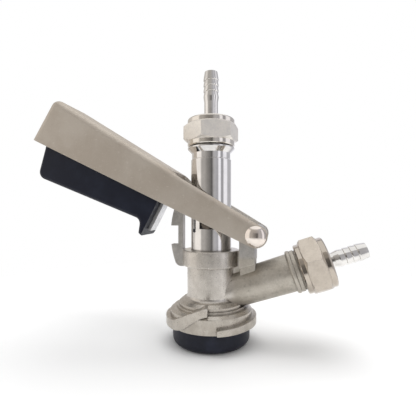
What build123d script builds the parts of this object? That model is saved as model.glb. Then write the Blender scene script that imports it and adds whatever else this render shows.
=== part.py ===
"""Lever-operated keg coupler: casting, sliding probe, lever handle, trigger latch and two hose barbs.

Millimetres, +Z up. The origin is the middle of the rubber seal's underside, where the coupler meets
the keg. The gas arm points to +X, the lever handle to -X.
"""

import os
from math import atan2, cos, degrees, radians, sin, sqrt

from build123d import *

# ---------------------------------------------------------------- driving sizes
FIT = 0.06              # radial clearance of a running fit
SLIDE = 0.1             # radial clearance of the probe in its bore
FACE_GAP = 0.3          # gap between moving faces
NUT_THREAD_GAP = 0.1    # thread crest to thread crest, both left plain

# rubber seal under the casting
SEAL_R = 23.0
SEAL_BORE_R = 15.5
SEAL_EDGE = 4.0
SKIRT_Z = 11.4          # underside of the casting's skirt
SEAL_SPIGOT_R = 18.5    # part of the seal pushed up into the skirt
SEAL_SPIGOT_H = 3.0

# casting, turned faces
SKIRT_R = 24.3
SKIRT_TOP_Z = 19.6
LEDGE_R = 22.4
LEDGE_Z = 21.2
STEP_R = 20.6
STEP_Z = 22.3
CONE_R = 19.2
CONE_Z = 23.8
FOOT_R = 17.0
FOOT_Z = 25.6
NECK_R = 14.4
NECK_FILLET = 2.2
COLLAR_R = 16.9
COLLAR_Z0 = 45.0
COLLAR_Z1 = 54.5
COLLAR_EDGE = 0.7
GAS_CHAMBER_R = 11.2
VALVE_RECESS_R = 16.5   # opening that takes the keg valve
VALVE_RECESS_Z = 21.0
CHAMBER_RISE = 3.0      # slope from the recess into the gas chamber
CHAMBER_LEAD = 1.0      # slope from the chamber into the probe's bore
BORE_BELOW = 1.5        # bore left under the probe at the bottom of its stroke

# lugs that turn under the keg neck: (degrees round from the start, underside, top)
LUG_R = 27.0
LUG_ROOT_R = 20.0
LUG_START = -72.0
LUG_RUN = (
    (0, 11.8, 14.8),
    (20, 11.9, 15.5),
    (40, 12.1, 16.2),
    (60, 12.0, 16.6),
    (80, 11.9, 16.7),
    (100, 11.9, 16.6),
    (118, 12.0, 17.0),
    (130, 12.6, 18.9),
    (140, 14.5, 21.2),
    (150, 17.8, 23.3),
    (160, 20.9, 25.4),
    (169, 22.3, 26.6),
)

# gas arm
ARM_TILT = 19.3
ARM_ROOT_Z = 25.9       # arm axis where it crosses the probe axis
ARM_R0 = 10.3
ARM_R1 = 10.9
ARM_BORE_R = 4.5
ARM_START = 9.0
ARM_COLLAR_R = 12.3
ARM_COLLAR_S = 49.6     # along the arm axis
ARM_COLLAR_T = 2.6
ARM_COLLAR_EDGE = 1.0
ARM_FACE_R = 11.9       # turned band that the nut closes on
ARM_FACE_T = 2.0

# hose unions, the same on the arm and on the probe
SPIGOT_R = 11.4
SPIGOT_L = 10.4
WASHER_T = 1.6
WASHER_R = 9.6
TAIL_FLANGE_R = 9.8
TAIL_FLANGE_T = 3.0
NUT_AF = 29.2
NUT_L = 16.5
NUT_SKIRT_R = 14.2
NUT_SKIRT_L = 2.8
NUT_BACK_GAP = 0.9      # dark line between nut and shoulder
NUT_BAND_L = 3.2        # round band above the hexagon
NUT_BAND_EDGE = 1.2
NUT_EDGE = 0.6
TAIL_SHANK_R = 4.2
TAIL_BORE_R = 2.6
BEER_NUT_TURN = 22.0
GAS_NUT_TURN = 12.0
BEER_TAIL_OUT = 28.7    # barb standing out of the nut
GAS_TAIL_OUT = 20.4
BEER_CREST_R = 4.65
GAS_CREST_R = 4.8
BARB_PITCH = 3.4
BARB_COUNT = 4
BARB_LAND = 0.5
BARB_LEAD = 4.6
BARB_DEPTH = 0.45
BARB_TIP_IN = 0.7      # the tip is this much smaller than the crests

# gas check valve in the arm
VALVE_R = 7.0
VALVE_SEAT_H = 6.0
VALVE_WALL = 1.0
VALVE_NOSE = 4.0
VALVE_LIP_W = 8.0

# probe
PROBE_R = 12.1
PROBE_BORE_R = 4.2
STEM_R = 9.0
STEM_TOP_Z = 50.2
PROBE_TIP_Z = 8.0
TIP_R = 7.2
TIP_H = 3.0
NECKING_R = 11.6
NECKING_Z = 108.0
NECKING_H = 4.0
SHOULDER_R = 14.1
SHOULDER_Z = 114.6
SHOULDER_T = 0.7
POCKET_Z = 67.2         # lower edge of the drive pockets
POCKET_W = 9.2
POCKET_DEPTH = 4.4
CORD = 1.8              # O-ring cord
RING_Z = 52.4
TIP_SEAL_Z = 12.0
BALL_R = 4.6
BALL_CHAMBER_R = 6.2
BALL_SEAT_Z = 99.0
BALL_SIT_GAP = 0.02
BALL_LIFT = 2.5
RETAINER_T = 1.6
RETAINER_W = 1.4

# handle: inverted channel that forks round the probe
PIVOT_X = 27.5
PIVOT_Z = 63.8
HANDLE_TILT = 28.0
SWING = 25.5
HANDLE_HALF = 15.5
HANDLE_WALL = 2.5
HANDLE_BEND = 4.0
EYE_R = 6.4
HANDLE_END = 152.4
HANDLE_END_LEAN = 2.4   # the end face leans back towards its top
END_BOT_V = -13.5
END_TOP_V = 16.5
KINK_V = 9.0
KINK_RUN = 4.5
WEB_START = 59.0
WEB_ROOT_V = 10.4
END_CORNER_R = 5.0
PIN_R = 3.6
HEAD_R = 5.7
HEAD_H = 2.3
DRIVE_R = 3.1
DRIVE_LIFT = 0.15       # under the drive studs in their pockets

# pivot lug and ratchet post on the casting
LUG_X0 = 18.3
LUG_X1 = 26.8
LUG_Z0 = 45.6           # underside on the probe side; it rises with the arm
LUG_WEB_HALF = 7.0      # web under the lug, down to the arm
LUG_WEB_Z = 39.0
BRIDGE_HALF = 4.0
BRIDGE_IN = 1.0         # the bridge bites this far into neck and lug
EAR_R = 5.8
EAR_SIDE_GAP = 0.4
POST_HALF = 2.6
POST_X = -17.1
POST_ARC_R = 52.3
POST_Z0 = 44.0
NOTCH_Z0 = 57.3
NOTCH_Z1 = 68.7
NOTCH_X = -20.0
POST_FOOT_R = 4.0
POST_FOOT_X = -14.0     # the foot runs into the collar as far as this

# latch plate and trigger grip
PLATE_U = 58.0
PLATE_T = 2.2
PLATE_HALF = 4.4
PLATE_BOT_V = -29.0
TOOTH_TOP_V = -1.2
TOOTH_BOT_V = -8.2
TOOTH_HALF = 2.3
TOOTH_OUT = 5.4
TOOTH_SIT_GAP = 0.4     # between the tooth and the post's top
TRIGGER_OVER = 0.5     # spare travel past the withdrawn place
GRIP_HALF = 11.0
GRIP_TOP_V = -10.0
GRIP_ROUND = 2.2
TONGUE_U = 79.5
TONGUE_TOP_V = -6.0
GRIP_END_U = 145.0
GRIP_CORNER = (141.0, -34.0)
GRIP_CORNER_R = 5.0
GRIP_HOLLOW = (65.4, -24.8)     # where the underside turns down into the hook
GRIP_HOLLOW_R = 4.0
HOOK_BACK = (62.6, -32.8)
HOOK_TIP_V = -33.2
HOOK_R = 1.1
GRIP_END_BEVEL = 4.0    # slope at the top of the grip's far end
GUIDE_U = (95.0, 125.0)
GUIDE_R = 2.0
GUIDE_HEAD_R = 3.6
GUIDE_HEAD_T = 2.0
GUIDE_HEAD_V = -10.6
SPRING_R = 3.0
SPRING_WIRE = 0.45
SPRING_TURNS = 5
SEAT_U = 70.4
SEAT_T = 2.6
SEAT_BOT_V = -9.0
PLATE_RIVET_R = 1.5
PLATE_RIVET_L = 9.0
PLATE_RIVET_V = -19.5
PLATE_RIVET_STEP = 4.8   # the two rivets stand this far above and below
CLEAR = 30.0            # cutters run this far past the solid they cut

# ---------------------------------------------------------------- derived places
arm = Plane(
    origin=(0, 0, ARM_ROOT_Z),
    x_dir=(sin(radians(ARM_TILT)), 0, -cos(radians(ARM_TILT))),
    z_dir=(cos(radians(ARM_TILT)), 0, sin(radians(ARM_TILT))),
)
lever = Plane(
    origin=(PIVOT_X, 0, PIVOT_Z),
    x_dir=(-cos(radians(HANDLE_TILT)), 0, sin(radians(HANDLE_TILT))),
    z_dir=(0, 1, 0),
)
bore_r = PROBE_R + SLIDE
drive_z = POCKET_Z + DRIVE_LIFT + DRIVE_R
drive_arm = sqrt(PIVOT_X**2 + (drive_z - PIVOT_Z) ** 2)
drive_angle = degrees(atan2(drive_z - PIVOT_Z, PIVOT_X))
stroke = drive_arm * (sin(radians(drive_angle)) - sin(radians(drive_angle - SWING)))
bore_z = STEM_TOP_Z - stroke - BORE_BELOW
probe_spigot_z = SHOULDER_Z + SHOULDER_T
arm_end_s = ARM_COLLAR_S + ARM_COLLAR_T + ARM_FACE_T
cheek_in = HANDLE_HALF - HANDLE_WALL
rivet_plane = Plane(
    origin=lever.from_local_coords((PLATE_U, PLATE_RIVET_V, 0)),
    x_dir=(sin(radians(HANDLE_TILT)), 0, cos(radians(HANDLE_TILT))),
    z_dir=lever.x_dir,
)
nut_r = NUT_AF / sqrt(3)
dome_r = (HEAD_R**2 + HEAD_H**2) / (2 * HEAD_H)
plate_back = PLATE_U + PLATE_T
slot_u = GUIDE_U[0] - GUIDE_HEAD_R - TRIGGER_OVER - FACE_GAP


def crown_v(u):
    """Height of the channel's crown above the lever plane's axis."""
    share = (u - WEB_START) / (HANDLE_END - HANDLE_END_LEAN - WEB_START)
    return WEB_ROOT_V + (END_TOP_V - WEB_ROOT_V) * share


# ---------------------------------------------------------------- rubber seal
with BuildPart() as keg_seal:
    with BuildSketch(Plane.XZ):
        with BuildLine():
            Polyline(
                (SEAL_BORE_R, 0),
                (SEAL_R, 0),
                (SEAL_R, SKIRT_Z),
                (SEAL_SPIGOT_R, SKIRT_Z),
                (SEAL_SPIGOT_R, SKIRT_Z + SEAL_SPIGOT_H),
                (VALVE_RECESS_R, SKIRT_Z + SEAL_SPIGOT_H),
                (VALVE_RECESS_R, SKIRT_Z / 2),
                (SEAL_BORE_R, SKIRT_Z / 3),
                close=True,
            )
        make_face()
    revolve(axis=Axis.Z)
    rim = keg_seal.edges().filter_by(GeomType.CIRCLE).group_by(Axis.Z)[0].sort_by(SortBy.RADIUS)[-1]
    fillet(rim, SEAL_EDGE)


# ---------------------------------------------------------------- casting
def lug(start):
    """One lug, lofted through upright sections that follow its underside and top."""
    with BuildPart(mode=Mode.PRIVATE) as band:
        for turn, low, high in LUG_RUN:
            a = radians(start + turn)
            upright = Plane(origin=(0, 0, 0), x_dir=(cos(a), sin(a), 0), z_dir=(sin(a), -cos(a), 0))
            with BuildSketch(upright):
                with Locations(((LUG_R + LUG_ROOT_R) / 2, (low + high) / 2)):
                    Rectangle(LUG_R - LUG_ROOT_R, high - low)
        loft()
    return band.part


with BuildPart() as casting:
    # turned foot, neck and collar
    with BuildSketch(Plane.XZ):
        with BuildLine():
            Polyline(
                (0, SKIRT_Z),
                (SKIRT_R, SKIRT_Z),
                (SKIRT_R, SKIRT_TOP_Z),
                (LEDGE_R, LEDGE_Z),
                (STEP_R, LEDGE_Z),
                (STEP_R, STEP_Z),
                (CONE_R, STEP_Z),
                (CONE_R, CONE_Z),
                (FOOT_R, FOOT_Z),
                (NECK_R, FOOT_Z),
                (NECK_R, COLLAR_Z0),
                (COLLAR_R, COLLAR_Z0),
                (COLLAR_R, COLLAR_Z1),
                (0, COLLAR_Z1),
                close=True,
            )
        make_face()
    revolve(axis=Axis.Z)
    neck_rings = [e for e in casting.edges().filter_by(GeomType.CIRCLE) if abs(e.radius - NECK_R) < 0.01]
    fillet(ShapeList(neck_rings).sort_by(Axis.Z)[0], NECK_FILLET)
    lips = [e for e in casting.edges().filter_by(GeomType.CIRCLE) if abs(e.radius - COLLAR_R) < 0.01]
    fillet(lips, COLLAR_EDGE)

    # gas arm with its end collar and threaded spigot, cut off inside the neck
    with BuildSketch(arm.offset(ARM_START)):
        Circle(ARM_R0)
    with BuildSketch(arm.offset(ARM_COLLAR_S)):
        Circle(ARM_R1)
    loft()
    with BuildSketch(arm.offset(ARM_COLLAR_S)):
        Circle(ARM_COLLAR_R)
    extrude(amount=ARM_COLLAR_T)
    ends = [e for e in casting.edges().filter_by(GeomType.CIRCLE) if abs(e.radius - ARM_COLLAR_R) < 0.01]
    fillet(ends, ARM_COLLAR_EDGE)
    with BuildSketch(arm.offset(ARM_COLLAR_S + ARM_COLLAR_T)):
        Circle(ARM_FACE_R)
    extrude(amount=ARM_FACE_T)
    with BuildSketch(arm.offset(arm_end_s)):
        Circle(SPIGOT_R)
    extrude(amount=SPIGOT_L)

    # pivot lug between the handle's cheeks, its underside sloping with the arm
    with BuildSketch(Plane.XZ):
        with BuildLine():
            Polyline(
                (LUG_X0, PIVOT_Z),
                (LUG_X0, LUG_Z0),
                (LUG_X1, LUG_Z0 + (LUG_X1 - LUG_X0) * sin(radians(ARM_TILT))),
                (LUG_X1, PIVOT_Z),
                close=True,
            )
        make_face()
        with Locations((PIVOT_X, PIVOT_Z)):
            Circle(EAR_R)
    extrude(amount=cheek_in - EAR_SIDE_GAP, both=True)
    # web that carries the lug on the arm
    with BuildSketch(Plane.XZ):
        with Locations((LUG_X0, LUG_WEB_Z)):
            Rectangle(LUG_X1 - LUG_X0, COLLAR_Z1 - LUG_WEB_Z, align=(Align.MIN, Align.MIN))
    extrude(amount=LUG_WEB_HALF, both=True)
    # bridge that ties the lug to collar and neck
    with BuildSketch(Plane.XZ):
        with Locations((NECK_R - BRIDGE_IN, LUG_WEB_Z)):
            Rectangle(LUG_X0 - NECK_R + 2 * BRIDGE_IN, COLLAR_Z1 - LUG_WEB_Z, align=(Align.MIN, Align.MIN))
    extrude(amount=BRIDGE_HALF, both=True)

    # ratchet post on the handle side
    with BuildSketch(Plane.XZ):
        with BuildLine():
            Polyline(
                (POST_X, POST_Z0),
                (POST_X, PIVOT_Z + CLEAR),
                (PIVOT_X - POST_ARC_R - CLEAR, PIVOT_Z + CLEAR),
                (PIVOT_X - POST_ARC_R - CLEAR, POST_Z0),
                close=True,
            )
        make_face()
        with Locations((PIVOT_X, PIVOT_Z)):
            Circle(POST_ARC_R, mode=Mode.INTERSECT)
        with Locations((NOTCH_X, NOTCH_Z0)):
            Rectangle(CLEAR, NOTCH_Z1 - NOTCH_Z0, align=(Align.MAX, Align.MIN), mode=Mode.SUBTRACT)
        with Locations((POST_FOOT_X, POST_Z0)):
            Rectangle(POST_FOOT_X - NOTCH_X, COLLAR_Z1 - POST_Z0, align=(Align.MAX, Align.MIN))
    extrude(amount=POST_HALF, both=True)
    # the post's top stands just under the tooth, square to the lever
    with BuildSketch(lever):
        with Locations((POST_ARC_R, TOOTH_BOT_V - TOOTH_SIT_GAP)):
            Rectangle(2 * CLEAR, CLEAR, align=(Align.CENTER, Align.MIN))
    extrude(amount=POST_HALF + 1, both=True, mode=Mode.SUBTRACT)
    corner = casting.edges().filter_by(Axis.Y).filter_by(
        lambda e: abs(e.center().Z - POST_Z0) < 0.01 and e.center().X < POST_X - 2
    )
    fillet(corner, POST_FOOT_R)

    # lugs
    add(lug(LUG_START))
    add(lug(LUG_START + 180))

    # valve recess, seat for the seal, gas chamber, probe bore
    with BuildSketch(Plane.XZ):
        with BuildLine():
            Polyline(
                (0, 0),
                (SEAL_R, 0),
                (SEAL_R, SKIRT_Z),
                (SEAL_SPIGOT_R, SKIRT_Z),
                (SEAL_SPIGOT_R, SKIRT_Z + SEAL_SPIGOT_H),
                (VALVE_RECESS_R, SKIRT_Z + SEAL_SPIGOT_H),
                (VALVE_RECESS_R, VALVE_RECESS_Z),
                (GAS_CHAMBER_R, VALVE_RECESS_Z + CHAMBER_RISE),
                (GAS_CHAMBER_R, bore_z - CHAMBER_LEAD),
                (bore_r, bore_z),
                (bore_r, COLLAR_Z1 + 1),
                (0, COLLAR_Z1 + 1),
                close=True,
            )
        make_face()
    revolve(axis=Axis.Z, mode=Mode.SUBTRACT)
    # gas way through the arm
    with BuildSketch(arm.offset(ARM_START)):
        Circle(ARM_BORE_R)
    extrude(amount=arm_end_s + SPIGOT_L, mode=Mode.SUBTRACT)
    # seat of the check valve in the spigot
    with BuildSketch(arm.offset(arm_end_s + SPIGOT_L)):
        Circle(VALVE_R)
    extrude(amount=-VALVE_SEAT_H, mode=Mode.SUBTRACT)
    # pivot hole
    with Locations(Plane(origin=(PIVOT_X, 0, PIVOT_Z), z_dir=(0, 1, 0))):
        Hole(PIN_R + FIT)


# ---------------------------------------------------------------- probe and what it carries
def ring(groove_r, z):
    """O-ring, its eight-sided section touching the bottom of its groove."""
    with BuildPart(mode=Mode.PRIVATE) as cord:
        with BuildSketch(Plane.XZ):
            with Locations((groove_r + CORD / 2, z)):
                RegularPolygon(CORD / 2, 8, major_radius=False, rotation=22.5)
        revolve(axis=Axis.Z)
    return cord.part


ring_groove_r = PROBE_R - CORD + SLIDE
tip_groove_r = STEM_R - CORD / 2
ball_z = BALL_SEAT_Z - PROBE_BORE_R + BALL_R * sqrt(2) + BALL_SIT_GAP
retainer_z = ball_z + BALL_R + BALL_LIFT + FACE_GAP

with BuildPart() as probe:
    with BuildSketch(Plane.XZ):
        with BuildLine():
            Polyline(
                (PROBE_BORE_R, PROBE_TIP_Z),
                (TIP_R, PROBE_TIP_Z),
                (STEM_R, PROBE_TIP_Z + TIP_H),
                (STEM_R, STEM_TOP_Z),
                (PROBE_R, STEM_TOP_Z),
                (PROBE_R, NECKING_Z),
                (NECKING_R, NECKING_Z + PROBE_R - NECKING_R),
                (NECKING_R, NECKING_Z + NECKING_H),
                (SHOULDER_R, SHOULDER_Z),
                (SHOULDER_R, probe_spigot_z),
                (SPIGOT_R, probe_spigot_z),
                (SPIGOT_R, probe_spigot_z + SPIGOT_L),
                (BALL_CHAMBER_R, probe_spigot_z + SPIGOT_L),
                (BALL_CHAMBER_R, BALL_SEAT_Z + BALL_CHAMBER_R - PROBE_BORE_R),
                (PROBE_BORE_R, BALL_SEAT_Z),
                close=True,
            )
        make_face()
        # grooves for the two O-rings
        with Locations((PROBE_R, RING_Z)):
            Rectangle(2 * (PROBE_R - ring_groove_r), CORD + FACE_GAP, mode=Mode.SUBTRACT)
        with Locations((STEM_R, TIP_SEAL_Z)):
            Rectangle(2 * (STEM_R - tip_groove_r), CORD + FACE_GAP, mode=Mode.SUBTRACT)
    revolve(axis=Axis.Z)
    # drive pockets, one on each side
    for side in (1, -1):
        with Locations((0, side * PROBE_R, drive_z)):
            Box(POCKET_W, 2 * POCKET_DEPTH, 2 * (DRIVE_R + DRIVE_LIFT), mode=Mode.SUBTRACT)

with BuildPart() as probe_ring:
    add(ring(ring_groove_r, RING_Z))

with BuildPart() as tip_seal:
    add(ring(tip_groove_r, TIP_SEAL_Z))

# the ball rests on the 45 degree seat
with BuildPart() as check_ball:
    with Locations((0, 0, ball_z)):
        Sphere(BALL_R)

# ring with a cross bar, pressed in over the ball
with BuildPart() as ball_retainer:
    with BuildSketch(Plane.XY.offset(retainer_z)):
        Circle(BALL_CHAMBER_R)
        Circle(BALL_CHAMBER_R - RETAINER_W, mode=Mode.SUBTRACT)
        Rectangle(2 * BALL_CHAMBER_R - RETAINER_W, RETAINER_W)
        Rectangle(RETAINER_W, 2 * BALL_CHAMBER_R - RETAINER_W)
    extrude(amount=RETAINER_T)


# ---------------------------------------------------------------- hose unions
# stack inside a nut: spigot, washer, tailpiece flange, then the nut's end wall
nut_inside = SPIGOT_L - NUT_BACK_GAP + WASHER_T + TAIL_FLANGE_T
probe_union = Plane.XY.offset(probe_spigot_z)
arm_union = arm.offset(arm_end_s)


def union_washer(base):
    """Flat sealing washer standing on the base plane."""
    with BuildPart(mode=Mode.PRIVATE) as washer:
        with BuildSketch(base):
            Circle(WASHER_R)
            Circle(BALL_CHAMBER_R, mode=Mode.SUBTRACT)
        extrude(amount=WASHER_T)
    return washer.part


def union_nut(base, turn):
    """Hexagon union nut between a turned skirt and a turned band, its mouth on the base plane."""
    with BuildPart(mode=Mode.PRIVATE) as nut:
        with BuildSketch(Plane.XY.offset(NUT_SKIRT_L)):
            RegularPolygon(nut_r, 6, rotation=turn)
        extrude(amount=NUT_L - NUT_SKIRT_L - NUT_BAND_L)
        slope = (nut_r - NUT_SKIRT_R) / sqrt(3)
        with BuildSketch(Plane.XZ):
            with BuildLine():
                Polyline(
                    (0, NUT_SKIRT_L),
                    (NUT_SKIRT_R, NUT_SKIRT_L),
                    (nut_r, NUT_SKIRT_L + slope),
                    (nut_r, NUT_L - NUT_BAND_L - slope),
                    (NUT_SKIRT_R, NUT_L - NUT_BAND_L),
                    (0, NUT_L - NUT_BAND_L),
                    close=True,
                )
            make_face()
        revolve(axis=Axis.Z, mode=Mode.INTERSECT)
        with BuildSketch():
            Circle(NUT_SKIRT_R)
        extrude(amount=NUT_L)
        rims = nut.edges().filter_by(GeomType.CIRCLE).sort_by(Axis.Z)
        chamfer(rims[0], NUT_EDGE)
        fillet(nut.edges().filter_by(GeomType.CIRCLE).sort_by(Axis.Z)[-1], NUT_BAND_EDGE)
        with BuildSketch():
            Circle(SPIGOT_R + NUT_THREAD_GAP)
        extrude(amount=nut_inside, mode=Mode.SUBTRACT)
        with BuildSketch():
            Circle(TAIL_SHANK_R + FIT)
        extrude(amount=NUT_L, mode=Mode.SUBTRACT)
    return base.location * nut.part


def tailpiece(base, crest_r, out):
    """Barbed hose tail: flange on the base plane, barb standing out of the nut by out."""
    tip = TAIL_FLANGE_T + NUT_L - nut_inside + out
    root_r = crest_r - BARB_DEPTH
    last = tip - BARB_LEAD
    points = [(TAIL_BORE_R, 0), (TAIL_FLANGE_R, 0), (TAIL_FLANGE_R, TAIL_FLANGE_T)]
    points += [(TAIL_SHANK_R, TAIL_FLANGE_T), (TAIL_SHANK_R, last - BARB_COUNT * BARB_PITCH)]
    for i in range(BARB_COUNT):
        z = last - (BARB_COUNT - 1 - i) * BARB_PITCH
        points += [(crest_r, z - BARB_LAND), (crest_r, z)]
        if i < BARB_COUNT - 1:
            points.append((root_r, z + BARB_PITCH - BARB_LAND - BARB_DEPTH / 2))
    points += [(crest_r - BARB_TIP_IN, tip), (TAIL_BORE_R, tip)]
    with BuildPart(mode=Mode.PRIVATE) as tail:
        with BuildSketch(Plane.XZ):
            with BuildLine():
                Polyline(*points, close=True)
            make_face()
        revolve(axis=Axis.Z)
    return base.location * tail.part


with BuildPart() as beer_washer:
    add(union_washer(probe_union.offset(SPIGOT_L)))

with BuildPart() as beer_tail:
    add(tailpiece(probe_union.offset(SPIGOT_L + WASHER_T), BEER_CREST_R, BEER_TAIL_OUT))

with BuildPart() as beer_nut:
    add(union_nut(probe_union.offset(NUT_BACK_GAP), BEER_NUT_TURN))

with BuildPart() as gas_washer:
    add(union_washer(arm_union.offset(SPIGOT_L)))

with BuildPart() as gas_tail:
    add(tailpiece(arm_union.offset(SPIGOT_L + WASHER_T), GAS_CREST_R, GAS_TAIL_OUT))

with BuildPart() as gas_nut:
    add(union_nut(arm_union.offset(NUT_BACK_GAP), GAS_NUT_TURN))

# check valve: a rubber duckbill held in the spigot's seat by the washer
with BuildPart() as gas_valve:
    with BuildSketch(arm_union.offset(SPIGOT_L - VALVE_WALL)):
        Circle(VALVE_R)
    extrude(amount=VALVE_WALL)
    with BuildSketch(arm_union.offset(SPIGOT_L - VALVE_WALL)):
        Circle(VALVE_R - 2 * VALVE_WALL)
    with BuildSketch(arm_union.offset(SPIGOT_L - VALVE_WALL - VALVE_NOSE)):
        Rectangle(VALVE_LIP_W, 3 * VALVE_WALL)
    loft()
    with BuildSketch(arm_union.offset(SPIGOT_L)):
        Circle(VALVE_R - 3 * VALVE_WALL)
    with BuildSketch(arm_union.offset(SPIGOT_L - VALVE_NOSE)):
        Rectangle(VALVE_LIP_W - 2 * VALVE_WALL, VALVE_WALL)
    loft(mode=Mode.SUBTRACT)


# ---------------------------------------------------------------- lever handle
with BuildPart() as handle:
    with BuildSketch(lever):
        with BuildLine():
            Polyline(
                (0, -EYE_R),
                (HANDLE_END, END_BOT_V),
                (HANDLE_END - HANDLE_END_LEAN, END_TOP_V),
                (WEB_START, WEB_ROOT_V),
                (WEB_START - KINK_RUN, KINK_V),
                (0, EYE_R),
                close=True,
            )
        make_face()
        Circle(EYE_R)
    extrude(amount=HANDLE_HALF, both=True)
    far_top = [
        e
        for e in handle.edges().filter_by(Axis.Y)
        if lever.to_local_coords(e.center()).X > HANDLE_END - HANDLE_WALL - 1
        and lever.to_local_coords(e.center()).Y > 0
    ]
    fillet(far_top, END_CORNER_R)
    # bends along the crown and round the far end
    bends = [
        e
        for e in handle.edges()
        if abs(abs(e.center().Y) - HANDLE_HALF) < 0.01
        and lever.to_local_coords(e.center()).X > WEB_START
        and lever.to_local_coords(e.center()).Y > END_BOT_V / 2
    ]
    fillet(bends, HANDLE_BEND)
    # open inside: the channel, and the fork that has no crown
    with BuildSketch(lever):
        with BuildLine():
            Polyline(
                (-CLEAR, -CLEAR),
                (HANDLE_END - HANDLE_WALL, -CLEAR),
                (HANDLE_END - HANDLE_WALL - HANDLE_END_LEAN, END_TOP_V - HANDLE_WALL),
                (WEB_START, WEB_ROOT_V - HANDLE_WALL),
                (WEB_START, WEB_ROOT_V + CLEAR),
                (-CLEAR, WEB_ROOT_V + CLEAR),
                close=True,
            )
        make_face()
    extrude(amount=cheek_in, both=True, mode=Mode.SUBTRACT)
    # eyes for the pivot
    with Locations(Plane(origin=(PIVOT_X, 0, PIVOT_Z), z_dir=(0, 1, 0))):
        Hole(PIN_R)

# pivot rivet: a pin with two domed heads
with BuildPart() as pivot_rivet:
    with BuildSketch(Plane(origin=(PIVOT_X, 0, PIVOT_Z))):
        with BuildLine():
            Line((0, 0), (0, HANDLE_HALF + HEAD_H))
            RadiusArc((0, HANDLE_HALF + HEAD_H), (HEAD_R, HANDLE_HALF), dome_r)
            Polyline((HEAD_R, HANDLE_HALF), (PIN_R, HANDLE_HALF), (PIN_R, 0), (0, 0))
        make_face()
        mirror(about=Plane.XZ)
    revolve(axis=Axis((PIVOT_X, 0, PIVOT_Z), (0, 1, 0)))

# studs inside the cheeks that drive the probe
with BuildPart() as drive_stud:
    for side in (1, -1):
        with BuildSketch(Plane(origin=(0, side * cheek_in, drive_z), x_dir=(1, 0, 0), z_dir=(0, -side, 0))):
            Circle(DRIVE_R)
        extrude(amount=cheek_in - PROBE_R + POCKET_DEPTH - FACE_GAP)

# spring seat across the channel
with BuildPart() as spring_seat:
    with BuildSketch(lever):
        with BuildLine():
            Polyline(
                (SEAT_U, SEAT_BOT_V),
                (SEAT_U + SEAT_T, SEAT_BOT_V),
                (SEAT_U + SEAT_T, crown_v(SEAT_U + SEAT_T) - HANDLE_WALL),
                (SEAT_U, crown_v(SEAT_U) - HANDLE_WALL),
                close=True,
            )
        make_face()
    extrude(amount=cheek_in, both=True)


def guide_screw(u):
    """Shouldered screw hanging from the crown; the trigger slides on its head."""
    top = crown_v(u - GUIDE_R) - HANDLE_WALL
    hang = Plane(origin=lever.from_local_coords((u, top, 0)), x_dir=(0, 1, 0), z_dir=-lever.y_dir)
    with BuildPart(mode=Mode.PRIVATE) as screw:
        with BuildSketch(hang):
            Circle(GUIDE_R)
        extrude(amount=top - GUIDE_HEAD_V)
        with BuildSketch(hang.offset(top - GUIDE_HEAD_V)):
            Circle(GUIDE_HEAD_R)
        extrude(amount=GUIDE_HEAD_T)
    return screw.part


with BuildPart() as guide_screws:
    for u in GUIDE_U:
        add(guide_screw(u))


# ---------------------------------------------------------------- trigger
with BuildPart() as trigger_grip:
    with BuildSketch(lever) as side:
        with BuildLine():
            Polyline(
                (plate_back, HOOK_TIP_V),
                (plate_back, GRIP_TOP_V),
                (TONGUE_U, GRIP_TOP_V),
                (TONGUE_U, TONGUE_TOP_V),
                (GRIP_END_U - GRIP_END_BEVEL, TONGUE_TOP_V),
                (GRIP_END_U, TONGUE_TOP_V - 2 * GRIP_END_BEVEL),
                GRIP_CORNER,
                GRIP_HOLLOW,
                HOOK_BACK,
                close=True,
            )
        make_face()
        for spot, radius in ((GRIP_CORNER, GRIP_CORNER_R), (GRIP_HOLLOW, GRIP_HOLLOW_R), (HOOK_BACK, HOOK_R)):
            near = side.vertices().sort_by_distance((*spot, 0))
            fillet(near[0], radius)
    extrude(amount=GRIP_HALF, both=True)
    under = [
        e
        for e in trigger_grip.edges()
        if abs(abs(e.center().Y) - GRIP_HALF) < 0.01
        and lever.to_local_coords(e.center()).Y < END_BOT_V
        and lever.to_local_coords(e.center()).X > plate_back + GRIP_ROUND
    ]
    fillet(under, GRIP_ROUND)
    # T-slot for the guide screws, open at the far end
    with BuildSketch(lever):
        with Locations((slot_u, GUIDE_HEAD_V - GUIDE_HEAD_T - FACE_GAP)):
            Rectangle(HANDLE_END - slot_u, GUIDE_HEAD_T + 2 * FACE_GAP, align=(Align.MIN, Align.MIN))
    extrude(amount=GUIDE_HEAD_R + FACE_GAP, both=True, mode=Mode.SUBTRACT)
    with BuildSketch(lever):
        with Locations((slot_u, GUIDE_HEAD_V)):
            Rectangle(HANDLE_END - slot_u, CLEAR, align=(Align.MIN, Align.MIN))
    extrude(amount=GUIDE_R + FACE_GAP, both=True, mode=Mode.SUBTRACT)
    with BuildSketch(rivet_plane):
        with Locations((PLATE_RIVET_STEP, 0), (-PLATE_RIVET_STEP, 0)):
            Circle(PLATE_RIVET_R)
    extrude(amount=PLATE_RIVET_L, mode=Mode.SUBTRACT)

# steel plate on the grip's front, with the tooth that rides on the post
with BuildPart() as latch_plate:
    with BuildSketch(lever):
        with Locations((PLATE_U, PLATE_BOT_V)):
            Rectangle(PLATE_T, TOOTH_TOP_V - PLATE_BOT_V, align=(Align.MIN, Align.MIN))
    extrude(amount=PLATE_HALF, both=True)
    with BuildSketch(lever):
        with Locations((PLATE_U - TOOTH_OUT, TOOTH_BOT_V)):
            Rectangle(TOOTH_OUT + PLATE_T / 2, TOOTH_TOP_V - TOOTH_BOT_V, align=(Align.MIN, Align.MIN))
    extrude(amount=TOOTH_HALF, both=True)
    with BuildSketch(rivet_plane):
        with Locations((PLATE_RIVET_STEP, 0), (-PLATE_RIVET_STEP, 0)):
            Circle(PLATE_RIVET_R)
    extrude(amount=PLATE_RIVET_L, mode=Mode.SUBTRACT)

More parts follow.
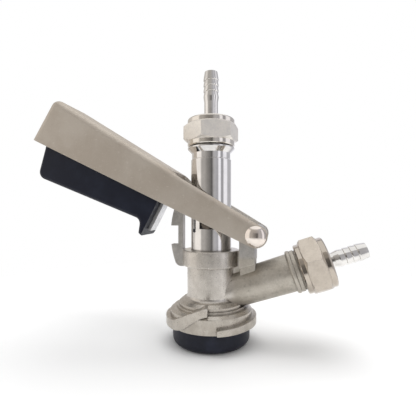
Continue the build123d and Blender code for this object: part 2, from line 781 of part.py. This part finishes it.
with BuildPart() as latch_rivets:
    with BuildSketch(rivet_plane):
        with Locations((PLATE_RIVET_STEP, 0), (-PLATE_RIVET_STEP, 0)):
            Circle(PLATE_RIVET_R)
    extrude(amount=PLATE_RIVET_L)

# return spring between the latch plate and the spring seat
spring_v = (TOOTH_TOP_V + TOOTH_BOT_V) / 2
spring_len = SEAT_U - plate_back - 2 * SPRING_WIRE - TRIGGER_OVER - FIT
with BuildPart() as trigger_spring:
    coil = Helix(spring_len / SPRING_TURNS, spring_len, SPRING_R - SPRING_WIRE)
    with BuildSketch(Plane(origin=coil @ 0, x_dir=(1, 0, 0), z_dir=coil % 0)):
        RegularPolygon(SPRING_WIRE, 6)
    sweep(path=coil, is_frenet=True)
spring_base = Plane(
    origin=lever.from_local_coords((plate_back + SPRING_WIRE, spring_v, 0)),
    x_dir=(0, 1, 0),
    z_dir=lever.x_dir,
)
trigger_spring.part = spring_base.location * trigger_spring.part


# ---------------------------------------------------------------- export
os.makedirs("parts", exist_ok=True)
PARTS = {
    "casting": casting.part,
    "keg_seal": keg_seal.part,
    "probe": probe.part,
    "probe_ring": probe_ring.part,
    "tip_seal": tip_seal.part,
    "check_ball": check_ball.part,
    "ball_retainer": ball_retainer.part,
    "beer_washer": beer_washer.part,
    "beer_tail": beer_tail.part,
    "beer_nut": beer_nut.part,
    "gas_valve": gas_valve.part,
    "gas_washer": gas_washer.part,
    "gas_tail": gas_tail.part,
    "gas_nut": gas_nut.part,
    "handle": handle.part,
    "pivot_rivet": pivot_rivet.part,
    "drive_stud": drive_stud.part,
    "spring_seat": spring_seat.part,
    "guide_screws": guide_screws.part,
    "trigger_grip": trigger_grip.part,
    "latch_plate": latch_plate.part,
    "latch_rivets": latch_rivets.part,
    "trigger_spring": trigger_spring.part,
}
for name, piece in PARTS.items():
    piece.label = name
    export_step(piece, f"parts/{name}.step")
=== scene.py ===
"""Looks of the keg coupler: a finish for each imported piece, the studio and the camera.

Lengths are in millimetres inside a finish and in metres everywhere else.
"""

from math import cos, pi, radians, sin

import bpy
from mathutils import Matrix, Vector

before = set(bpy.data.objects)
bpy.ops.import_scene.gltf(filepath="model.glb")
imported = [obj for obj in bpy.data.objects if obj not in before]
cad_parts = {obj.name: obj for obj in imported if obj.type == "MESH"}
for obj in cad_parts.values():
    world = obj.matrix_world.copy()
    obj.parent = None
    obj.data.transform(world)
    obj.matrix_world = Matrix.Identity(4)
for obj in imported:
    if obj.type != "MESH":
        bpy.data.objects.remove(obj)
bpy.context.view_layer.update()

MM = 0.001

# Casting: foot with bayonet lugs, neck, collar, gas arm, pivot lug and ratchet post, all one piece.
# Cast metal, blasted and nickel-plated; foot, neck and collar are turned smooth, the arm keeps its
# cast skin, and lug and post are milled. It stands on the keg valve and holds everything else.


class Wire:
    """A shader socket that takes part in sums; values go through Math nodes."""

    def __init__(self, finish, socket):
        self.finish = finish
        self.socket = socket

    def math(self, operation, other=0.0, clamp=False):
        settings = {"operation": operation, "use_clamp": clamp}
        return self.finish.node("ShaderNodeMath", settings, {0: self, 1: other})

    def __add__(self, other):
        return self.math("ADD", other)

    def __mul__(self, other):
        return self.math("MULTIPLY", other)

    def __sub__(self, other):
        return self.math("SUBTRACT", other)

    def __rsub__(self, other):
        settings = {"operation": "SUBTRACT"}
        return self.finish.node("ShaderNodeMath", settings, {0: other, 1: self})

    __radd__ = __add__
    __rmul__ = __mul__

    def clamped(self):
        return self.math("ADD", clamp=True)

    def ramp(self, low, high):
        """0 below low, 1 above high, smooth between."""
        settings = {"interpolation_type": "SMOOTHSTEP"}
        return self.finish.node("ShaderNodeMapRange", settings, {"Value": self, 1: low, 2: high})


class Finish:
    """The shader nodes of one material, or of the world when that is handed in."""

    def __init__(self, name, world=None):
        self.material = world or bpy.data.materials.new(name)
        self.material.use_nodes = True
        self.tree = self.material.node_tree
        self.shader = self.tree.nodes["Background" if world else "Principled BSDF"]

    def node(self, kind, settings=None, inputs=None, output=0):
        """Adds any shader node and hands back one of its outputs, the first unless told."""
        made = self.tree.nodes.new(kind)
        for key, value in (settings or {}).items():
            if key == "stops":
                self.place_stops(made.color_ramp.elements, value)
            else:
                setattr(made, key, value)
        for key, value in (inputs or {}).items():
            self.plug(made.inputs[key], value)
        return Wire(self, made.outputs[output])

    @staticmethod
    def place_stops(elements, stops):
        """Sets a ramp to grey levels at places from 0 to 1; a new ramp already has two stops."""
        for n, (place, level) in enumerate(stops):
            stop = elements[n] if n < 2 else elements.new(1.0)
            stop.position = place
            stop.color = (level, level, level, 1)

    def plug(self, socket, value):
        if isinstance(value, Wire):
            self.tree.links.new(value.socket, socket)
        else:
            socket.default_value = value

    def place(self):
        """Object coordinates in millimetres, so that grain sizes read as real ones."""
        spot = self.node("ShaderNodeTexCoord", output="Object")
        settings = {"operation": "SCALE"}
        return self.node("ShaderNodeVectorMath", settings, {0: spot, "Scale": 1 / MM})

    def times(self, spot, factors):
        return self.node("ShaderNodeVectorMath", {"operation": "MULTIPLY"}, {0: spot, 1: factors})

    def noise(self, spot, scale, detail=3.0, rough=0.55, stretch=None):
        """Grain from 0 to 1, about scale lumps to the millimetre, finer along a stretched axis."""
        spot = self.times(spot, stretch) if stretch else spot
        inputs = {"Vector": spot, "Scale": scale, "Detail": detail, "Roughness": rough}
        return self.node("ShaderNodeTexNoise", None, inputs)

    def blend(self, amount, first, second):
        """Colour first where amount is 0, second where it is 1."""
        settings = {"data_type": "RGBA"}
        return self.node("ShaderNodeMix", settings, {0: amount, 6: first, 7: second}, 2)

    def rounded(self, radius):
        """The surface's direction, as if its edges were rounded to this radius."""
        return self.node("ShaderNodeBevel", {"samples": 6}, {"Radius": radius * MM})

    def bump(self, height, strength, distance, edge=0.0):
        """Relief of this depth; edge is the radius that sharp edges look broken to."""
        inputs = {"Height": height, "Strength": strength, "Distance": distance * MM}
        if edge:
            inputs["Normal"] = self.rounded(edge)
        return self.node("ShaderNodeBump", None, inputs)

    def open_to(self, reach):
        """1 in the open, falling to 0 down in creases narrower than reach."""
        inputs = {"Distance": reach * MM}
        return self.node("ShaderNodeAmbientOcclusion", {"samples": 8}, inputs, "AO")

    def edge_highlight(self, radius):
        """1 along outer edges and 0 on flats and in corners, for the painted highlight along edges.
        """
        flat = self.node("ShaderNodeNewGeometry", output="True Normal")
        settings = {"operation": "DOT_PRODUCT"}
        ways = {0: self.rounded(radius), 1: flat}
        same = self.node("ShaderNodeVectorMath", settings, ways, "Value")
        return (1 - same).ramp(0.02, 0.25) * self.open_to(2.0).ramp(0.75, 0.95)

    def mottle(self, amount, deep, pale):
        """One finish's own unevenness, from its deeper colour to its paler one."""
        return self.blend(amount.ramp(0.3, 0.7), deep, pale)

    def along(self, spot, axis):
        """One coordinate of a place in millimetres: 0 is X, 1 is Y, 2 is Z."""
        return self.node("ShaderNodeSeparateXYZ", None, {0: spot}, axis)

    def set(self, **sockets):
        for key, value in sockets.items():
            self.plug(self.shader.inputs[key.replace("_", " ")], value)
        return self.material


def coat(material, *nodes):
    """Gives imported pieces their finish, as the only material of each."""
    for node in nodes:
        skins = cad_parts[node].data.materials
        skins.clear()
        skins.append(material)


# Each pair is the start and end of a change of finish, in X from the probe's axis or in height.
ARM_ROOT = (13.5, 16.5)
COLLAR_SIDE = (16.9, 17.3)
SKIRT_SIDE = (24.4, 25.2)
LUG_FACE = (17.2, 17.6)
LUG_BACK = (34.0, 36.0)
FOOT_TOP = (25.6, 27.0)
FOOT_FADE = (25.0, 27.0)
SKIRT_TOP = (24.0, 24.8)
COLLAR_UNDERSIDE = (44.6, 45.0)
POST_FOOT = (43.4, 43.8)
LUG_FOOT = (50.0, 53.0)


def cast_nickel():
    finish = Finish("cast nickel")
    spot = finish.place()
    grain = finish.noise(spot, 1.1, 5.0, 0.7)
    drift = finish.noise(spot, 0.16, 5.0, 0.65)
    rings = finish.noise(spot, 1.0, 3.0, 0.6, stretch=(0.05, 0.05, 3.5))
    soot = finish.noise(spot, 0.45, 5.0, 0.7).ramp(0.52, 0.72)

    x, z = finish.along(spot, 0), finish.along(spot, 2)
    by_neck = x.ramp(*ARM_ROOT) * z.ramp(*FOOT_TOP) * (1 - z.ramp(*COLLAR_UNDERSIDE))
    past_neck = x.ramp(*COLLAR_SIDE) * (z.ramp(*SKIRT_TOP) + x.ramp(*SKIRT_SIDE)).clamped()
    arm = (by_neck + past_neck).clamped()
    post = (-1 * x).ramp(*COLLAR_SIDE) * z.ramp(*POST_FOOT)
    lug = x.ramp(*LUG_FACE) * z.ramp(*LUG_FOOT) * (1 - x.ramp(*LUG_BACK))
    raw = (arm + post).clamped()

    turned = finish.mottle(drift, (0.51, 0.475, 0.43, 1), (0.64, 0.60, 0.55, 1))
    cast = finish.mottle(drift, (0.46, 0.42, 0.36, 1), (0.56, 0.52, 0.455, 1))
    milled = finish.mottle(drift, (0.38, 0.365, 0.345, 1), (0.50, 0.48, 0.455, 1))
    foot = finish.mottle(drift, (0.42, 0.38, 0.33, 1), (0.54, 0.50, 0.445, 1))
    tone = finish.blend(arm, turned, cast)
    tone = finish.blend(1 - z.ramp(*FOOT_FADE), tone, foot)
    tone = finish.blend((post + lug).clamped(), tone, milled)
    tone = finish.blend(soot * (0.03 + 0.37 * raw), tone, (0.16, 0.14, 0.115, 1))
    glint = grain.ramp(0.45, 0.75) * (0.05 + 0.21 * raw)
    tone = finish.blend(glint, tone, (0.85, 0.82, 0.77, 1))
    # Painted highlight: outer edges paler.
    tone = finish.blend(0.5 * finish.edge_highlight(0.5), tone, (0.88, 0.86, 0.82, 1))
    # Painted shade: darker where the surface is closed in, in creases and corners.
    crease_shade = 1 - finish.open_to(2.2).ramp(0.25, 0.75)
    tone = finish.blend(0.75 * crease_shade, tone, (0.10, 0.085, 0.07, 1))
    relief = grain * (0.1 + 0.9 * raw) + rings * (0.4 - 0.4 * raw)
    return finish.set(
        Base_Color=tone,
        Metallic=0.82,
        Roughness=0.22 + 0.20 * raw + 0.13 * grain,
        Normal=finish.bump(relief, 0.38, 0.15, edge=0.5),
    )


coat(cast_nickel(), "casting")


# Rubber seals: the keg seal pushed up into the skirt, and the O-rings on the probe and at its tip.
# Moulded black rubber with a slight sheen, a little dusty where it isn't wiped.


def black_rubber():
    finish = Finish("black rubber")
    spot = finish.place()
    skin = finish.noise(spot, 1.4, 4.0)
    dust = finish.noise(spot, 0.12, 4.0, 0.6).ramp(0.45, 0.8)
    return finish.set(
        Base_Color=finish.blend(dust, (0.005, 0.006, 0.014, 1), (0.013, 0.016, 0.032, 1)),
        Specular_IOR_Level=0.3,
        Roughness=0.40 + 0.18 * skin,
        Normal=finish.bump(skin, 0.12, 0.05),
    )


coat(black_rubber(), "keg_seal", "probe_ring", "tip_seal")


# Probe: the tube that the lever pushes down, with the check ball and its retainer inside.
# Stainless steel polished in a lathe, which leaves fine rings; its pockets and grooves get painted
# shade.


def polished_steel(name, tone, rough, edge=0.0):
    """Bright steel in this colour, blurred by rough, with edges broken to the radius edge."""
    finish = Finish(name)
    spot = finish.place()
    rings = finish.noise(spot, 1.0, 3.0, 0.6, stretch=(0.06, 0.06, 4.0))
    smear = finish.noise(spot, 0.1, 4.0, 0.6)
    dull = tuple(0.85 * level for level in tone[:3]) + (1.0,)
    tone = finish.blend(smear.ramp(0.35, 0.75), tone, dull)
    # Painted shade: near black where the surface is closed in, in pockets, grooves and under barbs.
    shade = 1 - finish.open_to(2.5).ramp(0.3, 0.8)
    return finish.set(
        Base_Color=finish.blend(0.85 * shade, tone, (0.07, 0.06, 0.05, 1)),
        Metallic=1.0,
        Roughness=rough + 0.05 * rings + 0.04 * smear,
        Normal=finish.bump(rings, 0.06, 0.02, edge),
    )


probe_steel = polished_steel("polished tube", (0.86, 0.84, 0.82, 1), 0.05, edge=0.15)
coat(probe_steel, "probe", "ball_retainer", "check_ball")


# Union nuts: one on top of the probe, one at the end of the arm, each with a hexagon 29 mm across.
# Turned from brass bar and nickel-plated; the flats stay satin, with a bright band at each end.


HEXAGON_START = (2.7, 3.0)
HEXAGON_END = (13.2, 13.5)


def satin_nickel(name, tilt, start, pale, deep):
    """Satin hexagon between bright bands, on an axis tilted in degrees from upright.

    The nut begins at start along that axis.
    """
    finish = Finish(name)
    spot = finish.place()
    brushed = finish.noise(spot, 0.9, 5.0, 0.7)
    patch = finish.noise(spot, 0.2, 4.0, 0.6)
    lean = radians(tilt)
    way = finish.along(spot, 0) * sin(lean) + finish.along(spot, 2) * cos(lean) - start
    hexagon = way.ramp(*HEXAGON_START) * (1 - way.ramp(*HEXAGON_END))
    tone = finish.blend((0.5 * patch + 0.5 * brushed).ramp(0.40, 0.62), pale, deep)
    # Painted highlight: outer edges paler.
    tone = finish.blend(0.6 * finish.edge_highlight(0.4), tone, (0.95, 0.93, 0.90, 1))
    bright = tuple(0.9 * level for level in pale[:3]) + (1.0,)
    return finish.set(
        Base_Color=finish.blend(hexagon, bright, tone),
        Metallic=1 - 0.35 * hexagon,
        Roughness=0.10 + (0.14 + 0.14 * brushed) * hexagon,
        Normal=finish.bump(brushed * hexagon, 0.3, 0.08, edge=0.3),
    )


cream = {"pale": (0.90, 0.85, 0.78, 1), "deep": (0.80, 0.76, 0.71, 1)}
coat(satin_nickel("satin nickel", tilt=0.0, start=116.2, **cream), "beer_nut")
rosy = {"pale": (0.60, 0.535, 0.46, 1), "deep": (0.52, 0.46, 0.39, 1)}
coat(satin_nickel("rosy nickel", tilt=70.7, start=63.7, **rosy), "gas_nut")


# Hose tails: barbed tailpieces that the nuts clamp down, one for beer and one for gas.
# Turned stainless steel, bright, with painted shade as a dark line under each barb.

tail_steel = polished_steel("turned tail", (0.86, 0.84, 0.81, 1), 0.06, edge=0.12)
coat(tail_steel, "beer_tail", "gas_tail")


# Union washers and the gas valve: flat washers under the tails, and the duckbill in the arm.
# Grey fibre-filled rubber, cut and moulded, with no shine; all of it sits inside the unions.


def fibre_grey():
    finish = Finish("fibre grey")
    fibre = finish.noise(finish.place(), 1.5, 4.0)
    tone = finish.blend(fibre, (0.25, 0.26, 0.26, 1), (0.4, 0.41, 0.4, 1))
    return finish.set(Base_Color=tone, Roughness=0.6 + 0.2 * fibre)


coat(fibre_grey(), "beer_washer", "gas_washer", "gas_valve")


# Lever handle: a channel closed at its far end, with the spring seat across it and the drive studs.
# Pressed from steel sheet and tumbled to a warm satin; its edges are painted paler as a highlight.


CHEEK_OUTSIDE = (13.7, 14.0)


def satin_lever():
    """Warm satin outside; the insides of the cheeks are painted paler and less metallic, as painted
    light in their shade.
    """
    finish = Finish("satin lever")
    spot = finish.place()
    tumbled = finish.noise(spot, 1.4, 5.0, 0.65)
    drift = finish.noise(spot, 0.05, 4.0, 0.6)
    scuffs = finish.noise(spot, 0.5, 4.0, 0.7, stretch=(1.0, 1.0, 1.8)).ramp(0.62, 0.70)
    tone = finish.mottle(drift, (0.46, 0.40, 0.335, 1), (0.53, 0.475, 0.41, 1))
    tone = finish.blend(0.35 * scuffs, tone, (0.76, 0.73, 0.68, 1))
    # Tumbled patches are paler at random; the outer edges are paler as a painted highlight.
    tumble_and_highlight = 0.5 * tumbled.ramp(0.55, 0.8) + 0.6 * finish.edge_highlight(0.5)
    tone = finish.blend(tumble_and_highlight, tone, (0.74, 0.70, 0.64, 1))
    # Painted light: cheek insides paler, lifting the shade between the cheeks.
    facing = finish.node("ShaderNodeTexCoord", output="Normal")
    sideways = finish.along(facing, 1).math("ABSOLUTE").ramp(0.7, 0.9)
    off_middle = finish.along(spot, 1).math("ABSOLUTE")
    painted_light_inside = sideways * (1 - off_middle.ramp(*CHEEK_OUTSIDE))
    tone = finish.blend(0.7 * painted_light_inside, tone, (0.86, 0.82, 0.76, 1))
    return finish.set(
        Base_Color=tone,
        Metallic=0.5 - 0.4 * painted_light_inside,
        Roughness=0.36 + 0.16 * tumbled,
        Normal=finish.bump(tumbled, 0.14, 0.07, edge=0.4),
    )


coat(satin_lever(), "handle", "spring_seat")
coat(polished_steel("hardened stud", (0.30, 0.26, 0.22, 1), 0.20), "drive_stud")


# Pivot rivet and guide screws: the domed rivet that the handle turns on, and the trigger's screws.
# Headed steel, polished; the rivet goes through the lug and both cheeks of the handle.

rivet_steel = polished_steel("polished rivet", (0.88, 0.80, 0.73, 1), 0.08)
coat(rivet_steel, "pivot_rivet", "guide_screws")


# Trigger grip: the block under the handle that fingers pull to free the latch.
# Moulded black nylon with a fine grain, rubbed smoother on the side that fingers touch.


def black_nylon():
    finish = Finish("black nylon")
    spot = finish.place()
    grain = finish.noise(spot, 2.0, 3.0, 0.6)
    wear = finish.noise(spot, 0.08, 4.0).ramp(0.4, 0.8)
    return finish.set(
        Base_Color=finish.blend(wear, (0.004, 0.006, 0.016, 1), (0.010, 0.014, 0.028, 1)),
        Specular_IOR_Level=0.3,
        Roughness=0.34 + 0.16 * grain,
        Normal=finish.bump(grain, 0.15, 0.05),
    )


coat(black_nylon(), "trigger_grip")


# Latch plate: the stamped plate on the grip's end whose tooth catches on the post, with its rivets.
# Plain zinc-bright steel, dulled; two rivets hold it, and the coil spring behind it sets it back.

stamped_steel = polished_steel("stamped steel", (0.80, 0.80, 0.80, 1), 0.40, edge=0.2)
coat(stamped_steel, "latch_plate", "latch_rivets", "trigger_spring")


# Studio: a pale floor that fades into a white surround, three soft lamps, and a ring of cards.
# The cards glow white and grey, as light that only reflections see.


FLOOR_RADIUS = 0.6
FLOOR_DROP = 0.0001
FLOOR_FADE = (110.0, 330.0)


def studio_floor():
    """Pale disc under the coupler that fades out into the white round it."""
    bpy.ops.mesh.primitive_circle_add(
        vertices=64, radius=FLOOR_RADIUS, fill_type="NGON", location=(0, 0, -FLOOR_DROP)
    )
    floor = bpy.context.object
    floor.name = "floor"
    finish = Finish("paper")
    settings = {"operation": "LENGTH"}
    reach = finish.node("ShaderNodeVectorMath", settings, {0: finish.place()}, "Value")
    finish.set(
        Base_Color=(0.95, 0.95, 0.95, 1),
        Roughness=0.9,
        Specular_IOR_Level=0.0,
        Alpha=1 - reach.ramp(*FLOOR_FADE),
    )
    floor.data.materials.append(finish.material)


COUPLER_MIDDLE = Vector((0, 0, 0.09))


def softbox(name, spot, size, power):
    """Soft lamp turned to the coupler; reflections show the world and the cards instead."""
    bpy.ops.object.light_add(type="AREA", location=spot)
    lamp = bpy.context.object
    lamp.name = name
    lamp.data.shape = "RECTANGLE"
    lamp.data.size, lamp.data.size_y = size
    lamp.data.energy = power
    way = COUPLER_MIDDLE - Vector(spot)
    lamp.rotation_euler = way.to_track_quat("-Z", "Y").to_euler()
    lamp.visible_glossy = False


CAMERA_TURN = radians(12.0)
RING_RADIUS = 0.55
RING_HEIGHT = 1.1
RING_MIDDLE = 0.25
TOP_GREY = 0.42
RIM_GREY = 0.5
WARM = (1.0, 0.955, 0.91, 1)
COOL = (0.97, 0.97, 1.03, 1)


def card_ring(levels):
    """Ring of cards that polished metal shows as upright bands.

    levels says how pale it is by turn, in degrees from the camera's side, counted rightwards.
    """
    bpy.ops.mesh.primitive_cylinder_add(
        vertices=96,
        radius=RING_RADIUS,
        depth=RING_HEIGHT,
        end_fill_type="NOTHING",
        location=(0, 0, RING_MIDDLE),
    )
    ring = bpy.context.object
    ring.name = "cards"
    finish = Finish("cards")
    spot = finish.node("ShaderNodeTexCoord", output="Object")
    settings = {"rotation_type": "Z_AXIS"}
    inputs = {"Vector": spot, "Angle": pi - CAMERA_TURN}
    faced = finish.node("ShaderNodeVectorRotate", settings, inputs)
    turn = finish.along(faced, 0).math("ARCTAN2", finish.along(faced, 1)) * (-0.5 / pi) + 0.5
    stops = [(degrees / 360 + 0.5, level) for degrees, level in levels]
    band = finish.node("ShaderNodeValToRGB", {"stops": stops}, {0: turn})
    off_level = finish.along(spot, 2) + (RING_MIDDLE - COUPLER_MIDDLE.z)
    off_level = off_level.math("ABSOLUTE")
    level = band.math("MAXIMUM", TOP_GREY * off_level.ramp(0.10, 0.28))
    level = level + (RIM_GREY - level) * off_level.ramp(0.40, 0.60)
    pale = finish.node("ShaderNodeCombineColor", None, {0: level, 1: level, 2: level})
    finish.set(
        Base_Color=(0, 0, 0, 1),
        Specular_IOR_Level=0.0,
        Emission_Color=finish.times(pale, finish.blend(turn.ramp(0.45, 0.60), WARM, COOL)),
        Emission_Strength=1.0,
    )
    ring.data.materials.append(finish.material)
    ring.visible_camera = ring.visible_transmission = False
    ring.visible_diffuse = ring.visible_shadow = False


studio_floor()
softbox("left", (-0.80, -0.42, 0.35), (0.8, 0.8), 2.3)
softbox("right", (0.75, -0.50, 0.25), (0.6, 0.8), 1.7)
softbox("top", (0.0, 0.1, 1.0), (0.9, 0.9), 8.0)
behind_left = ((-180, 0.9), (-168, 0.62), (-126, 0.62), (-108, 0.7))
left_strips = ((-100, 1.0), (-64, 1.0), (-56, 0.46), (-38, 0.44))
front = ((-24, 0.30), (-8, 0.20), (5, 0.10), (9, 0.40), (20, 0.50), (37, 0.42))
right_strips = ((42, 1.0), (53, 1.0), (57, 0.36), (70, 0.40), (75, 1.0), (98, 1.0))
behind_right = ((106, 0.5), (142, 0.5), (156, 1.0), (180, 0.9))
card_ring(behind_left + left_strips + front + right_strips + behind_right)

DIFFUSE_LEVEL = 0.45

world = bpy.data.worlds.new("studio")
bpy.context.scene.world = world
backdrop = Finish("studio", world)
camera_ray, glossy_ray, through_ray = (
    backdrop.node("ShaderNodeLightPath", output=f"Is {kind} Ray")
    for kind in ("Camera", "Glossy", "Transmission")
)
seen = camera_ray.math("MAXIMUM", glossy_ray).math("MAXIMUM", through_ray)
backdrop.set(Color=(1, 1, 1, 1), Strength=DIFFUSE_LEVEL + (1 - DIFFUSE_LEVEL) * seen)


# Camera: level, a little to the right of square on, with a wide lens.
# The shift moves the frame up by under a hundredth of its height without tilting it.

CAMERA_DISTANCE = 0.1879
CAMERA_HEIGHT = 0.0776
SIDESTEP = 0.00194
SENSOR_MM = 36.0
LENS_MM = 26.8269
SHIFT = 0.00721

bpy.ops.object.camera_add()
camera = bpy.context.object
right = Vector((cos(CAMERA_TURN), sin(CAMERA_TURN), 0))
back = Vector((sin(CAMERA_TURN), -cos(CAMERA_TURN), 0))
up = Vector((0, 0, 1))
camera.location = back * CAMERA_DISTANCE - right * SIDESTEP + up * CAMERA_HEIGHT
camera.rotation_euler = (radians(90), 0, CAMERA_TURN)
camera.data.sensor_width = SENSOR_MM
camera.data.lens = LENS_MM
camera.data.shift_y = SHIFT
camera.data.clip_start = 0.01
bpy.context.scene.camera = camera
bpy.context.scene.view_settings.view_transform = "Standard"
